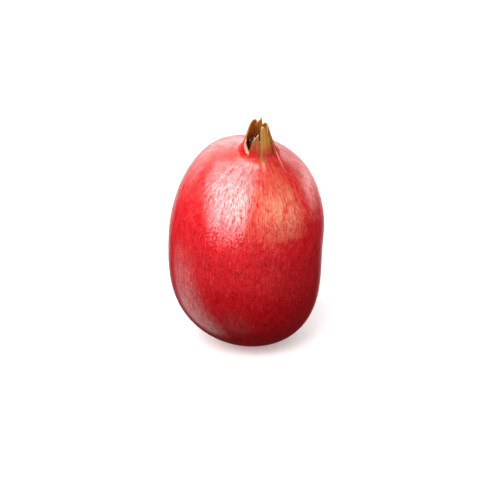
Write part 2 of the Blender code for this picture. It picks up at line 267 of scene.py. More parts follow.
@dataclass(frozen=True)
class RindSkin:
    """Waxy red rind that turns to dry husk on the crown's lobes."""

    # deep red of the rind's darker patches, also used for the painted shade towards the foot and on the lower
    # right
    deep: Colour = (0.43, 0.0018, 0.0045)
    bright: Colour = (0.80, 0.0065, 0.016)
    ember: Colour = (0.40, 0.014, 0.004)
    rose: Colour = (0.84, 0.060, 0.066)
    coral: Colour = (0.88, 0.16, 0.10)
    peach: Colour = (0.93, 0.45, 0.27)
    wine: Colour = (0.30, 0.004, 0.010)
    scar: Colour = (0.16, 0.02, 0.035)
    speck: Colour = (0.46, 0.10, 0.035)
    maroon: Colour = (0.36, 0.032, 0.010)
    pith: Colour = (0.80, 0.50, 0.34)
    olive: Colour = (0.34, 0.19, 0.05)
    # painted reflection: pink of the pale line down the crown's right flank
    painted_glint: Colour = (0.90, 0.42, 0.36)
    wax_ior: float = 1.5
    husk_ior: float = 1.12
    pebble_depth: float = 0.00012
    streak_depth: float = 0.00007
    husk_depth: float = 0.0006

    def red_rind(self, grain: RindGrain) -> Value:
        """Red of the rind, with a veil of flecks high up on the right, scars and pale pores, and painted
        shade towards the foot, on the lower right and round the crown's root.
        """
        graph, across, deep, along = grain.graph, grain.across, grain.deep, grain.along
        thread, fleck, drift = grain.threads - 0.5, grain.flecks - 0.5, grain.drift
        # painted shade: the red darkens towards the foot, where less light falls; the clouds and threads vary
        # it at random
        depth = 0.84 - 0.66 * along.step(1.2, 2.5) + 0.9 * (grain.clouds - 0.5) + 1.5 * thread
        side = (across * 0.80 - deep * 0.60).step(0.20, 0.95)
        high = (along + 0.9 * (drift - 0.5) + 0.6 * thread).step(1.70, 0.55)
        cover = high * (0.55 + 0.45 * side) * (1 - 0.60 * across.step(0.58, 0.88)) * (drift * 1.7 - 0.05)
        veil = cover + thread * (0.30 + 2.4 * cover) + (grain.mottle - 0.5) * 0.5
        # painted shade: the lower right of the rind darkened towards the deep red
        painted_shade_low_right = (across * 0.75 - deep * 0.35).step(0.30, 0.85) * along.step(1.5, 2.3)
        wisps = (grain.threads * 0.6 + grain.flecks * 0.4).step(0.54, 0.64) * along.step(2.7, 1.3)
        fine = (grain.mottle - 0.5) * 0.9 + (grain.stipple - 0.5) * 1.3
        return graph.coats(
            graph.blend(depth.clamped(), self.deep, self.bright),
            (graph.blend(side, self.rose, self.coral), veil.step(0.20, 0.58), 0.85),
            (graph.blend(side, self.coral, self.peach), (veil + fleck * 1.6).step(0.58, 0.92), 0.85),
            # darker ember red round the crown's root: the rind's own red there, with painted shade in the
            # neck's hollow
            (self.ember, along.step(0.70, 0.15) * (0.85 + 1.2 * thread), 0.95),
            (self.deep, painted_shade_low_right, 0.55),
            (self.bright, (grain.flecks * 0.5 + grain.threads * 0.5).step(0.48, 0.38) * high, 0.9),
            (self.coral, wisps, 0.38),
            (self.rose, fine.step(0.00, 0.30) * (0.20 + 0.45 * high), 1.0),
            (self.wine, fine.step(0.02, -0.30) * (0.85 - 0.55 * high), 1.0),
            (self.speck, grain.stipple.step(0.44, 0.28) * cover, 0.50),
            (self.scar, grain.strokes * grain.shoulder, 0.80),
            (self.bright, grain.brushed, 0.60),
            (self.peach, graph.cells(grain.place, 430.0).step(0.12, 0.04), 0.35))

    def dry_husk(self, grain: RindGrain) -> Value:
        """Fibrous husk of the lobes in each lobe's own colour."""
        dry = grain.graph.blend(grain.fibres.step(0.62, 0.34) * 0.55, grain.husk, self.olive)
        return grain.graph.coats(dry, (self.maroon, grain.ribs.step(0.50, 0.64), 0.35))

    @staticmethod
    def dried_edge(grain: RindGrain) -> Value:
        """How far the rind has dried to husk, further down along the seams."""
        edge = grain.climb - 0.01 + 0.60 * (grain.fibres - 0.5) + 0.30 * (grain.mottle - 0.5)
        edge = edge + 0.5 * grain.seam + grain.glint_and_dry_band.step(-0.2, -0.8) * 0.55
        return edge.step(0.20, 0.95)

    @staticmethod
    def wear(grain: RindGrain) -> Value:
        """Where the wax is worn off the rind, so that it shines less."""
        worn = grain.threads.step(0.53, 0.40) * 0.55 + grain.stipple.step(0.50, 0.36) * 0.40
        worn = worn + grain.flecks.step(0.50, 0.38) * 0.30
        return worn + grain.along.step(0.10, 0.03) * 0.75 + grain.brushed * 0.45

    def material(self) -> Material:
        """Write the rind's material, which reads grain, zone, mark and husk of its piece."""
        graph = Graph.of_material("pomegranate_rind")
        grain = RindGrain(graph)
        threads, stipple, fibres = grain.threads, grain.stipple, grain.fibres
        dried = self.dried_edge(grain)
        dry = self.dry_husk(grain)
        skin = graph.blend(dried, self.red_rind(grain), dry)
        # the lining turns maroon towards the cup's floor: its own dark colour, with painted shade deep in the
        # hollow
        lining = graph.blend((grain.climb + 0.3 * (fibres - 0.5)).step(0.72, 0.06), dry, self.maroon)
        skin = graph.coats(
            graph.blend(grain.inside, skin, lining),
            (self.olive, grain.seam.step(0.05, 0.75) * (0.80 + 0.8 * (fibres - 0.5)), 1.0),
            (self.pith, grain.rim * grain.pale * (0.75 + 0.5 * grain.mottle), 1.0),
            # painted reflection: pale pink line down the crown's right flank
            (self.painted_glint, (grain.glint_and_dry_band.step(0.15, 0.85) * (1.7 * fibres)).clamped(), 0.8))

        pebbled = graph.bump(graph.noise(grain.place, 560.0, 2.0, 0.5), self.pebble_depth)
        streaked = graph.bump(threads * 0.7 + stipple * 0.3, self.streak_depth, pebbled)
        waxy = graph.skin({"IOR": self.wax_ior}, {
            "Base Color": skin, "Normal": streaked,
            "Roughness": 0.19 + 0.22 * (threads - 0.5) + 0.14 * (stipple - 0.5)})
        papery = graph.skin({"IOR": self.husk_ior}, {
            "Base Color": skin, "Normal": graph.bump(fibres * 0.6 + grain.ribs * 0.4, self.husk_depth),
            "Roughness": 0.55 + 0.25 * grain.mottle})
        dryness = ((dried + grain.inside).clamped() + self.wear(grain)).clamped()
        return graph.finish(graph.add("ShaderNodeMixShader", {}, {0: dryness, 1: waxy, 2: papery}))


@dataclass(frozen=True)
class DryThread:
    """Papery dried stamens, pale at the anthers."""

    thread: Colour = (0.14, 0.045, 0.015)
    shade: Colour = (0.05, 0.012, 0.006)
    anther: Colour = (0.75, 0.62, 0.46)
    ior: float = 1.35
    grain_depth: float = 0.00008

    def material(self) -> Material:
        """Write the stamens' material, which reads the attribute ripe of its piece."""
        graph = Graph.of_material("dried_stamens")
        ripe, glow, _ = graph.attribute("ripe")
        place = graph.coordinates("Object")
        mottle = graph.noise(place, 900.0, 3.0, 0.6)
        colour = graph.blend(mottle.step(0.3, 0.7), self.shade, self.thread)
        colour = graph.coats(colour, (self.anther, ripe.step(0.70, 0.86) * glow * (0.5 + mottle), 1.0))
        return graph.finish(graph.skin({"IOR": self.ior}, {
            "Base Color": colour, "Roughness": 0.7 + 0.25 * mottle,
            "Normal": graph.bump(graph.noise(place, 2600.0, 2.0, 0.5), self.grain_depth)}))


@dataclass(frozen=True)
class CutStalk:
    """Dry brown stalk with a paler cut end."""

    bark: Colour = (0.16, 0.085, 0.04)
    bark_light: Colour = (0.30, 0.17, 0.08)
    wood: Colour = (0.45, 0.30, 0.15)
    wood_dark: Colour = (0.24, 0.14, 0.06)
    ring_turns: float = 40.0
    ior: float = 1.35
    grain_depth: float = 0.00025

    def material(self) -> Material:
        """Write the stub's material, which reads the attribute ripe of its piece."""
        graph = Graph.of_material("cut_stalk")
        cut, reach, _ = graph.attribute("ripe")
        mottle = graph.noise(graph.coordinates("Object"), 1300.0, 4.0, 0.65)
        rings = (reach * self.ring_turns + mottle * 5.0).cosine() * 0.5 + 0.5
        bark = graph.blend(mottle, self.bark, self.bark_light)
        face = graph.blend(rings * 0.5 + mottle * 0.3, self.wood, self.wood_dark)
        return graph.finish(graph.skin({"IOR": self.ior}, {
            "Base Color": graph.blend(cut, bark, face), "Roughness": 0.75 + 0.2 * mottle,
            "Normal": graph.bump(mottle + 0.3 * rings, self.grain_depth)}))


# Mesh helpers


def deselect_all() -> None:
    """Leave object mode with nothing selected."""
    if bpy.context.object and bpy.context.object.mode != "OBJECT":
        bpy.ops.object.mode_set(mode="OBJECT")
    bpy.ops.object.select_all(action="DESELECT")


def pick(test: Callable[[Vector], bool]) -> None:
    """In edit mode, select vertices by their place.

    Args:
        test: function of a place that is true where a vertex is wanted.
    """
    bpy.ops.mesh.select_all(action="DESELECT")
    bpy.ops.object.mode_set(mode="OBJECT")
    for vert in bpy.context.object.data.vertices:
        vert.select = bool(test(vert.co))
    bpy.ops.object.mode_set(mode="EDIT")


def add_cylinder(sides: int, radius: float, bottom: float, height: float) -> Object:
    """Add an upright cylinder and open it for editing its points.

    Args:
        sides: number of its sides.
        radius: its radius.
        bottom: height that it starts at.
        height: its own height.

    Returns:
        The cylinder, in edit mode.
    """
    deselect_all()
    bpy.ops.mesh.primitive_cylinder_add(vertices=sides, radius=radius, depth=height,
                                        location=(0, 0, bottom + height / 2), end_fill_type="NGON")
    bpy.ops.object.transform_apply(location=True, rotation=True, scale=True)
    bpy.ops.object.mode_set(mode="EDIT")
    bpy.ops.mesh.select_mode(type="VERT")
    return bpy.context.object


def finish_mesh(piece: Object, material: Material, levels: int = 0) -> None:
    """Subdivide and smooth a piece and give it its material.

    Args:
        piece: the piece.
        material: its finish.
        levels: how many times it is subdivided.
    """
    if levels:
        smoother = piece.modifiers.new("smooth", "SUBSURF")
        smoother.levels = smoother.render_levels = levels
        bpy.context.view_layer.objects.active = piece
        bpy.ops.object.modifier_apply(modifier=smoother.name)
    for face in piece.data.polygons:
        face.use_smooth = True
    piece.data.materials.clear()
    piece.data.materials.append(material)


def write_attribute(mesh: Mesh, name: str, values: list[tuple[float, float, float]]) -> None:
    """Store a vector on each vertex of a mesh."""
    layer = mesh.attributes.new(name, "FLOAT_VECTOR", "POINT")
    layer.data.foreach_set("vector", [number for value in values for number in value])


# The fruit


class Wall(Enum):
    """Faces of the crown's wall."""

    OUTER = 0.0
    INNER = 1.0


class Column(NamedTuple):
    """Line of points up the skin: its lobe, the share across that lobe and its angle."""

    lobe: int
    share: float
    degrees: float


class Spot(NamedTuple):
    """Point of the skin in mm, with its climb above the crown's root for its finish.

    Inside is one in the cup, and rim nears one at the rim.
    """

    point: Vector
    climb: float
    inside: float = 0.0
    rim: float = 0.0


@dataclass(frozen=True)
class Lobe:
    """One lobe of the crown, in degrees from +X anticlockwise and mm of height.

    The tucks draw an edge inwards and the reaches swing it past its valley, over or
    under the lobe beside it. The two colours are those of its outer and inner faces.
    """

    start: float
    tip: float
    low: float
    high: float
    rise: float
    rise_full: float
    fall: float
    fall_full: float
    outer: Colour
    inner: Colour
    pale: float = 0.5
    tuck_start: float = 0.0
    tuck_end: float = 0.0
    reach_start: float = 0.0
    reach_end: float = 0.0


LOBES = (
    Lobe(-28.0, 42.0, 6.5, 17.9, 0.93, 1.5, 0.0, 1.5, (0.42, 0.17, 0.040), (0.80, 0.28, 0.050), pale=0.2,
         tuck_start=0.8, reach_start=8.0, tuck_end=-0.2, reach_end=3.0),
    Lobe(64.0, 68.0, 14.8, 21.5, 0.0, 1.2, 0.50, 1.0, (0.50, 0.22, 0.030), (0.98, 0.42, 0.030), pale=0.7,
         tuck_end=1.4, reach_end=27.0),
    Lobe(100.0, 132.0, 8.0, 19.2, 0.93, 2.0, 0.0, 1.8, (0.44, 0.18, 0.040), (0.95, 0.27, 0.035), pale=0.15,
         tuck_start=-0.2, reach_start=8.0),
    Lobe(204.0, 208.0, 9.4, 9.6, 0.0, 1.0, 0.0, 0.6, (0.62, 0.22, 0.080), (0.30, 0.03, 0.010), pale=1.0),
    Lobe(238.0, 270.5, 2.9, 15.5, 0.6, 1.0, 0.0, 1.1, (0.48, 0.160, 0.045), (0.30, 0.04, 0.012), pale=0.8),
    Lobe(284.0, 287.5, 7.2, 19.8, 0.0, 1.6, 0.0, 3.8, (0.70, 0.34, 0.060), (0.40, 0.12, 0.020), pale=0.8,
         tuck_end=-0.6, reach_end=5.0, reach_start=1.0),
)
RIGHT_LOBE, FRONT_LOBE = LOBES[0], LOBES[-1]


@dataclass
class Fruit:
    """Rind and crown, one grown skin, with the sizes of the solid in mm."""

    widest_radius: float = 45.5
    upper_height: float = 53.8
    lower_height: float = 69.0
    upper_powers: tuple[float, float] = (1.78, 3.0)
    lower_powers: tuple[float, float] = (3.4, 2.0)
    axis_span: float = 60.0
    lean_right: float = 4.4
    bend_upper: float = 3.8
    bend_lower: float = 7.5
    bend_front: float = 11.9
    turn_right: float = 14.4
    turn_front: float = 16.2
    facet_count: int = 6
    facet_relief: float = 0.55
    facet_ridge: float = 266.0
    uneven_relief: float = 0.30
    foot_outer: float = 13.0
    dimple_depth: float = 3.4
    dimple_climb: float = -170.0
    dimple_rings: Pairs = (
        (1.2, 1.0), (2.6, 1.0), (4.4, 0.98), (5.3, 0.82), (6.0, 0.5), (6.5, 0.2), (6.85, 0.03), (7.0, 0.0),
        (7.5, 0.0), (10.0, 0.0), (12.6, 0.0))
    crown_lean_right: float = 3.4
    crown_lean_front: float = 14.0
    crown_shift: float = 1.0
    root_radius: float = 10.2
    root_spread: float = 1.0
    root_flare: float = 1.35
    spread_angle: float = 350.0
    tip_radius: float = 4.3
    full_height: float = 24.0
    root_height: float = 2.0
    neck_radius: float = 26.0
    neck_inner: float = 16.5
    neck_spread: float = 2.0
    neck_hollow: float = 1.8
    neck_dip: float = 0.8
    neck_run: float = 14.0
    tip_wall: float = 0.7
    root_wall: float = 1.35
    seam_groove: float = 0.5
    seam_width: float = 6.0
    seam_mark: float = 5.0
    broken_angle: float = 219.0
    broken_width: float = 22.0
    broken_bend: float = 0.22
    free_edge: float = 7.0
    ripple: float = 0.10
    ripple_count: float = 31.0
    rim_sink: float = 0.22
    rim_band: float = 0.9
    cup_radius: float = 7.1
    cup_floor: float = -1.7
    cup_floor_radius: float = 6.7
    cup_climb: float = -2.0
    cup_rings: Pairs = ((1.0, 0.9), (0.93, 0.35), (0.8, 0.12), (0.45, 0.0), (0.2, 0.0))
    columns_per_lobe: tuple[int, ...] = (48, 28, 46, 22, 34, 30)
    profile_steps: int = 400
    body_rows: int = 44
    neck_rows: int = 8
    wall_rows: int = 15
    shift: Vector = field(default_factory=Vector)

    def middle(self, height: float) -> Vector:
        """Middle of the rind's ring at a height above the widest ring."""
        share = height / self.axis_span
        bend = self.bend_upper if height > 0 else self.bend_lower
        front = self.bend_front * share ** 2 if height > 0 else 0.0
        return Vector((self.lean_right * share + bend * share ** 2, -front, height))

    @staticmethod
    def tilted(right_deg: float, front_deg: float) -> tuple[Vector, Vector, Vector]:
        """Across, deep and up directions of a ring tipped to the right and the front."""
        right, front = radians(right_deg), radians(front_deg)
        up = Vector((sin(right), -sin(front), cos(right) * cos(front))).normalized()
        across = Vector((up.z, 0.0, -up.x)).normalized()
        return across, up.cross(across), up

    def body_point(self, angle: float, height: float, radius: float) -> Vector:
        """Point on the rind at an angle, on the ring of a height and a radius."""
        share = max(height, 0.0) / self.axis_span
        across, deep, _ = self.tilted(self.turn_right * share, self.turn_front * share)
        return self.middle(height) + (across * cos(angle) + deep * sin(angle)) * radius

    def crown_point(self, angle: float, radius: float, height: float) -> Vector:
        """Point in the crown at an angle, a radius and a height along its own line."""
        across, deep, up = self.tilted(self.crown_lean_right, self.crown_lean_front)
        base = self.middle(self.upper_height) - Vector((self.crown_shift, 0.0, 0.0))
        return base + up * height + (across * cos(angle) + deep * sin(angle)) * radius

    def body_height(self, radius: float) -> float:
        """Height at which the upper rind has narrowed to a radius."""
        squareness, fullness = self.upper_powers
        return self.upper_height * (1 - (radius / self.widest_radius) ** fullness) ** (1 / squareness)

    def body_radius(self, height: float) -> float:
        """Radius of the rind's plain round form at a height above the widest ring."""
        full, powers = self.upper_height, self.upper_powers
        if height <= 0:
            full, powers = self.lower_height, self.lower_powers
        return self.widest_radius * (1 - (abs(height) / full) ** powers[0]) ** (1 / powers[1])

    def foot_height(self) -> float:
        """Height of the flat resting ring, below the widest ring."""
        squareness, fullness = self.lower_powers
        part = 1 - (self.foot_outer / self.widest_radius) ** fullness
        return -self.lower_height * part ** (1 / squareness)

    def outline(self) -> list[tuple[float, float, float]]:
        """Height, radius and distance run, evenly spaced up the rind from foot to neck."""
        foot, top, steps = self.foot_height(), self.body_height(self.neck_radius), self.profile_steps
        quarter = pi / 2 / steps
        heights = [foot * cos(step * quarter) for step in range(steps + 1)]
        heights += [top * sin(step * quarter) for step in range(1, steps + 1)]
        points = [(height, self.body_radius(height)) for height in heights]
        run = [0.0]
        for (h0, r0), (h1, r1) in zip(points, points[1:]):
            run.append(run[-1] + hypot(h1 - h0, r1 - r0))
        rows, place = [], 0
        for index in range(self.body_rows):
            want = run[-1] * index / (self.body_rows - 1)
            while place < len(run) - 2 and run[place + 1] < want:
                place += 1
            part = held((want - run[place]) / max(run[place + 1] - run[place], 1e-9))
            (h0, r0), (h1, r1) = points[place], points[place + 1]
            rows.append((h0 + (h1 - h0) * part, r0 + (r1 - r0) * part, want))
        return rows

    def relief(self, angle: float, height: float) -> float:
        """Small rise of the rind over its plain round form."""
        span = (height + self.lower_height) / (self.upper_height + self.lower_height)
        fade = sin(pi * held(span)) ** 0.6
        turn = angle - radians(self.facet_ridge)
        sharp = cos(self.facet_count * turn) + 0.25 * cos(2 * self.facet_count * turn)
        uneven = sin(2 * angle + 0.05 * height) * sin(0.045 * height + 1.1)
        return fade * (self.facet_relief * sharp * span ** 1.5 + self.uneven_relief * uneven)

    @staticmethod
    def lobe_edge(share: float, shoulder: float, fullness: float) -> float:
        """Part of a lobe's height gained part of the way from its valley to its tip."""
        rest = held(1 - share)
        return shoulder * (1 - rest ** 8) + (1 - shoulder) * (1 - rest ** fullness)

    def rim_height(self, column: Column) -> float:
        """Height of the rim at a column."""
        lobe = LOBES[column.lobe]
        end, end_low = self.lobe_end(column.lobe)
        if column.degrees <= lobe.tip:
            share = (column.degrees - lobe.start) / (lobe.tip - lobe.start)
            return lobe.low + (lobe.high - lobe.low) * self.lobe_edge(share, lobe.rise, lobe.rise_full)
        share = (end - column.degrees) / (end - lobe.tip)
        return end_low + (lobe.high - end_low) * self.lobe_edge(share, lobe.fall, lobe.fall_full)

    @staticmethod
    def lobe_end(index: int) -> tuple[float, float]:
        """Angle and height of the valley that ends a lobe."""
        if index == len(LOBES) - 1:
            return LOBES[0].start + 360.0, LOBES[0].low
        return LOBES[index + 1].start, LOBES[index + 1].low

    def crown_radius(self, height: float, degrees: float) -> float:
        """Outer radius of the crown's wall, drawn in along the seams between lobes."""
        share = (height - self.root_height) / (self.full_height - self.root_height)
        root = self.root_radius + self.root_spread * cos(radians(degrees - self.spread_angle))
        radius = self.tip_radius + (root - self.tip_radius) * max(1 - share, 0.0) ** self.root_flare
        seam = sum(bell(turned(degrees - lobe.start), self.seam_width) for lobe in LOBES)
        bend = self.broken_bend * max(height - self.root_height, 0.0)
        radius += bend * bell(turned(degrees - self.broken_angle), self.broken_width)
        return radius - self.seam_groove * min(seam, 1.0)

    def wall_thickness(self, height: float) -> float:
        """Thickness of the crown's wall, thick at the root and thin at the tips."""
        return self.tip_wall + (self.root_wall - self.tip_wall) * (1 - held(height / self.full_height)) ** 1.5

    def columns(self) -> list[Column]:
        """Every column of the skin, going round from the first lobe."""
        columns = []
        for lobe, count in enumerate(self.columns_per_lobe):
            start, (end, _) = LOBES[lobe].start, self.lobe_end(lobe)
            columns += [Column(lobe, index / count, start + (end - start) * index / count)
                        for index in range(count)]
        return columns

    def dimple_row(self, radius: float, depth: float, full: float, column: Column) -> Spot:
        """Spot of a ring in the stalk's dimple or on the flat resting ring."""
        point = self.body_point(radians(column.degrees), self.foot_height(), radius)
        return Spot(point + Vector((0, 0, depth * self.dimple_depth)), radius - self.foot_outer - full)

    def body_row(self, height: float, radius: float, climb: float, column: Column) -> Spot:
        """Spot of a ring of the rind with its relief, which the resting ring hasn't."""
        angle = radians(column.degrees)
        rise = self.relief(angle, height) if height > self.foot_height() else 0.0
        return Spot(self.body_point(angle, height, radius + rise), climb)

    def neck_row(self, share: float, column: Column) -> Spot:
        """Spot on the hollow sweep from the shoulder up into the crown's wall."""
        degrees, angle = column.degrees, radians(column.degrees)
        low = self.body_height(self.neck_radius)
        start = self.body_point(angle, low, self.neck_radius + self.relief(angle, low))
        radius = self.neck_inner + self.neck_spread * cos(angle - radians(self.spread_angle))
        inner = self.body_point(angle, self.body_height(radius), radius)
        root = self.crown_point(angle, self.crown_radius(self.root_height, degrees), self.root_height)
        below = self.crown_point(angle, self.crown_radius(0.0, degrees) + self.neck_hollow, -self.neck_dip)
        rest = 1 - share
        point = (start * rest ** 3 + inner * 3 * rest ** 2 * share
                 + below * 3 * rest * share ** 2 + root * share ** 3)
        return Spot(point, -self.neck_run * rest)

    def wall_point(self, column: Column, share: float, side: Wall, sink: float) -> Vector:
        """Point part of the way up the crown's wall.

        Args:
            column: its column.
            share: part of the way from the root to the rim.
            side: outer or inner face.
            sink: how far the point lies below the rim's crest, for its rounding.

        Returns:
            The point.
        """
        lobe, across, degrees = LOBES[column.lobe], column.share, column.degrees
        height = self.root_height + (self.rim_height(column) - self.root_height) * share - sink
        radius = self.crown_radius(height, degrees)
        if side is Wall.INNER:
            radius -= self.wall_thickness(height)
            if share < 1.0:
                radius = min(radius, self.cup_radius)
        valley = min(lobe.low, self.lobe_end(column.lobe)[1])
        grown = held((height - valley) / self.free_edge)
        near_start, near_end = (1 - across) ** 2, across ** 2
        radius -= (lobe.tuck_start * near_start + lobe.tuck_end * near_end) * grown
        degrees += (lobe.reach_end * near_end - lobe.reach_start * near_start) * grown
        radius += self.ripple * sin(radians(degrees) * self.ripple_count) * grown
        return self.crown_point(radians(degrees), radius, height)

    def wall_row(self, share: float, side: Wall, column: Column) -> Spot:
        """Spot of a ring of the crown's wall, its outer edge rounded below the crest."""
        sink = self.rim_sink if share == 1.0 and side is Wall.OUTER else 0.0
        tall = self.rim_height(column) - self.root_height
        rim = max(0.0, 1.0 - tall * (1 - share) / self.rim_band)
        return Spot(self.wall_point(column, share, side, sink), tall * share, side.value, rim)

    def cup_row(self, radius: float, lift: float, column: Column) -> Spot:
        """Spot of a ring on the floor of the crown's cup."""
        point = self.crown_point(radians(column.degrees), radius, self.cup_floor + lift)
        return Spot(point, self.cup_climb, Wall.INNER.value)

    def plan_rows(self) -> list[Callable[[Column], Spot]]:
        """Rings of the skin from the stalk's dimple to the floor of the crown's cup.

        Returns:
            A function for each ring that gives its spot at a column.
        """
        outline = self.outline()
        full = outline[-1][2] + self.neck_run
        rows = [partial(self.dimple_row, radius, depth, full) for radius, depth in self.dimple_rings]
        rows += [partial(self.body_row, height, radius, run - full) for height, radius, run in outline]
        rows += [partial(self.neck_row, step / self.neck_rows) for step in range(1, self.neck_rows)]
        climb = [step / self.wall_rows for step in range(self.wall_rows + 1)]
        rows += [partial(self.wall_row, share, Wall.OUTER) for share in climb]
        rows += [partial(self.wall_row, share, Wall.INNER) for share in reversed(climb)]
        rows += [partial(self.cup_row, share * self.cup_floor_radius, lift) for share, lift in self.cup_rings]
        return rows

    def spot_of(self, place: Vector, rows: list[Callable[[Column], Spot]],
                columns: list[Column]) -> tuple[Column, Spot]:
        """Column and spot of the skin that a point of the plain ball becomes.

        Args:
            place: the point, on a ball of radius one.
            rows: the skin's rings.
            columns: the skin's columns.

        Returns:
            The column and the spot.
        """
        polar = acos(held(-place.z, -1.0, 1.0)) / pi
        ring = round(polar * (len(rows) + 1)) - 1
        column = columns[round(atan2(place.y, place.x) / tau * len(columns)) % len(columns)]
        if ring < 0:
            middle = self.middle(self.foot_height()) + Vector((0, 0, self.dimple_depth))
            return column, Spot(middle, self.dimple_climb)
        if ring >= len(rows):
            return column, Spot(self.crown_point(0.0, 0.0, self.cup_floor), self.cup_climb, Wall.INNER.value)
        return column, rows[ring](column)

    def seam(self, degrees: float, climb: float) -> float:
        """Weight of the olive seam at the left edge of the front lobe."""
        reach = held((climb + 5.0) / 3.0) * held((7.0 - climb) / 2.0)
        return reach * bell(turned(degrees - FRONT_LOBE.start), self.seam_mark)

    def glint_and_dry_band(self, degrees: float, climb: float) -> float:
        """Weight of the painted reflection, a pale line down the crown's right flank, with its dry band.

        Args:
            degrees: angle of the spot.
            climb: height above the crown's root, in mm.

        Returns:
            A weight up to 1, negative on the dry band beside the line.
        """
        middle = RIGHT_LOBE.start + 14.0 + 12.0 * held(climb / 6.0, -1.5, 1.2)
        gap = turned(degrees - middle)
        line = bell(gap, 3.0) * held((climb + 13.0) / 11.0)
        band = bell(gap + 8.0, 4.0) * held((climb + 1.5) / 2.0)
        return line - band

    def build(self, material: Material) -> Object:
        """Model the fruit: a ball with a ring and a column for each of the skin's, drawn into its shape.

        Args:
            material: the rind's finish.

        Returns:
            The finished piece, standing where the solid stands.
        """
        rows, columns = self.plan_rows(), self.columns()
        deselect_all()
        bpy.ops.mesh.primitive_uv_sphere_add(segments=len(columns), ring_count=len(rows) + 1, radius=1.0)
        piece = bpy.context.object
        mesh = piece.data
        piece.name = mesh.name = "pomegranate_skin"
        points, grain, zone, mark, husk = [], [], [], [], []
        for vert in mesh.vertices:
            column, spot = self.spot_of(vert.co, rows, columns)
            turn, lobe, outside = radians(column.degrees), LOBES[column.lobe], 1 - spot.inside
            points.append(spot.point)
            grain.append((cos(turn), sin(turn), -spot.climb / self.widest_radius))
            zone.append((spot.climb / 10.0, spot.inside, spot.rim))
            # marks: the olive seam, the lobe's paleness, and the painted reflection line with its dry band
            mark.append((self.seam(column.degrees, spot.climb) * outside, lobe.pale,
                         self.glint_and_dry_band(column.degrees, spot.climb) * outside))
            husk.append(lobe.outer if outside else lobe.inner)
        low = Vector(min(point[axis] for point in points) for axis in range(3))
        high = Vector(max(point[axis] for point in points) for axis in range(3))
        self.shift = Vector((-(low.x + high.x) / 2, -(low.y + high.y) / 2, -low.z))
        for vert, point in zip(mesh.vertices, points):
            vert.co = (point + self.shift) * MM
        for name, values in (("grain", grain), ("zone", zone), ("mark", mark), ("husk", husk)):
            write_attribute(mesh, name, values)
        finish_mesh(piece, material, 1)
        return piece


